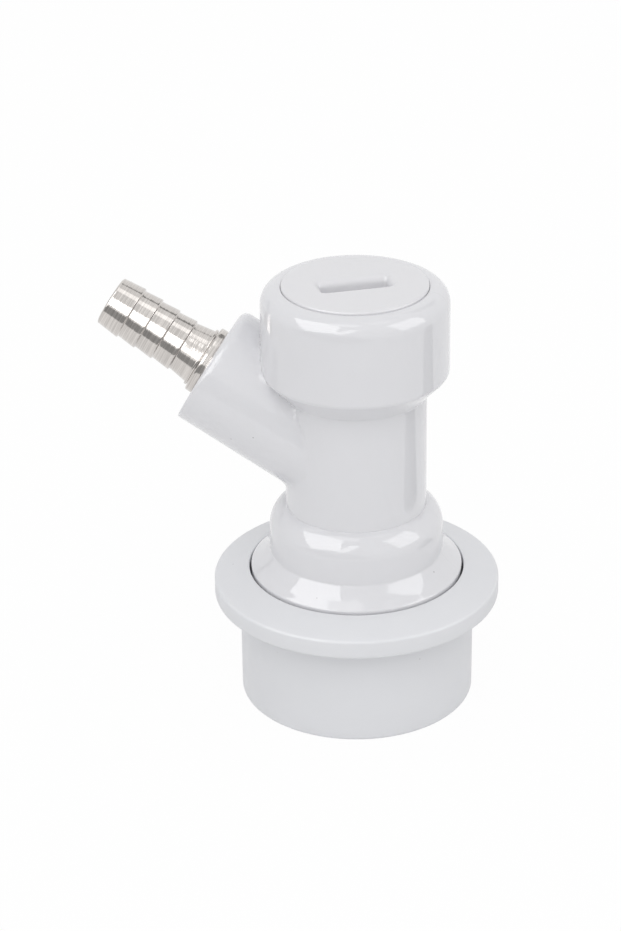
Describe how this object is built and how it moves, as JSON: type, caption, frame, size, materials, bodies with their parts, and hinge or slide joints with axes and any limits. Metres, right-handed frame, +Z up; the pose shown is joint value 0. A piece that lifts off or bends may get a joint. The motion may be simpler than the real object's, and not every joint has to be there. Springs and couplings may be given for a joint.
{
  "type": "ball lock disconnect",
  "caption": "Ball lock keg disconnect: slotted head on a stem, slanting steel hose barb, and a flanged spring collar round the post socket.",
  "frame": {"origin": "centre of the post socket's mouth, on the plane that the part stands on", "axes": "+Z up the stem, from the socket's mouth to the slotted plug; the hose barb leans towards -X, 30 degrees above the horizontal, in the XZ plane"},
  "size_m": [0.0534, 0.038, 0.0587],
  "materials": {
    "body": "glossy moulded, cool grey-white",
    "screw_plug": "glossy moulded, cool grey-white",
    "collar": "satin moulded, cool grey-white",
    "hose_barb": "turned and polished stainless steel",
    "ball": "polished stainless steel",
    "spring": "drawn stainless wire",
    "snap_ring": "stamped stainless sheet",
    "plunger": "moulded",
    "rubber": "matte black"
  },
  "bodies": {
    "body": {"body": "body", "hose_barb": "hose_barb", "retaining_ring": "snap_ring", "collar_spring": "spring", "plunger_spring": "spring"},
    "collar": {"collar": "collar"},
    "plunger": {"plunger_pin": "plunger", "plunger_seal": "rubber"},
    "plug_gasket": {"plug_gasket": "rubber"},
    "screw_plug": {"screw_plug": "screw_plug"},
    "lock_ball_1": {"lock_ball_1": "ball"},
    "lock_ball_2": {"lock_ball_2": "ball"},
    "lock_ball_3": {"lock_ball_3": "ball"}
  },
  "joints": [
    {"name": "collar_slide", "type": "slide", "parent": "body", "child": "collar", "axis": [0, 0, 1], "range_m": [0, 0.0045], "stiffness_N_per_m": 400, "springref_m": -0.008, "deforming": ["collar_spring"]},
    {"name": "plunger_slide", "type": "slide", "parent": "body", "child": "plunger", "axis": [0, 0, 1], "range_m": [0, 0.003], "stiffness_N_per_m": 300, "springref_m": -0.006, "deforming": ["plunger_spring"]},
    {"name": "plug_lift", "type": "slide", "parent": "body", "child": "plug_gasket", "axis": [0, 0, 1], "range_m": [0, 0.0045]},
    {"name": "plug_turn", "type": "hinge", "parent": "plug_gasket", "child": "screw_plug", "pos_m": [0, 0, 0.057], "axis": [0, 0, 1], "range_deg": [0, 1080]},
    {"name": "ball_1_slide", "type": "slide", "parent": "body", "child": "lock_ball_1", "axis": [0.866, 0.5, 0], "range_m": [0, 0.0009]},
    {"name": "ball_2_slide", "type": "slide", "parent": "body", "child": "lock_ball_2", "axis": [-0.866, 0.5, 0], "range_m": [0, 0.0009]},
    {"name": "ball_3_slide", "type": "slide", "parent": "body", "child": "lock_ball_3", "axis": [0, -1, 0], "range_m": [0, 0.0009]}
  ],
  "couplings": [
    {"joint": "plug_lift", "follows": "plug_turn", "m_per_rad": 0.00023873},
    {"joint": "ball_1_slide", "follows": "collar_slide", "ratio": 0.2},
    {"joint": "ball_2_slide", "follows": "collar_slide", "ratio": 0.2},
    {"joint": "ball_3_slide", "follows": "collar_slide", "ratio": 0.2}
  ]
}
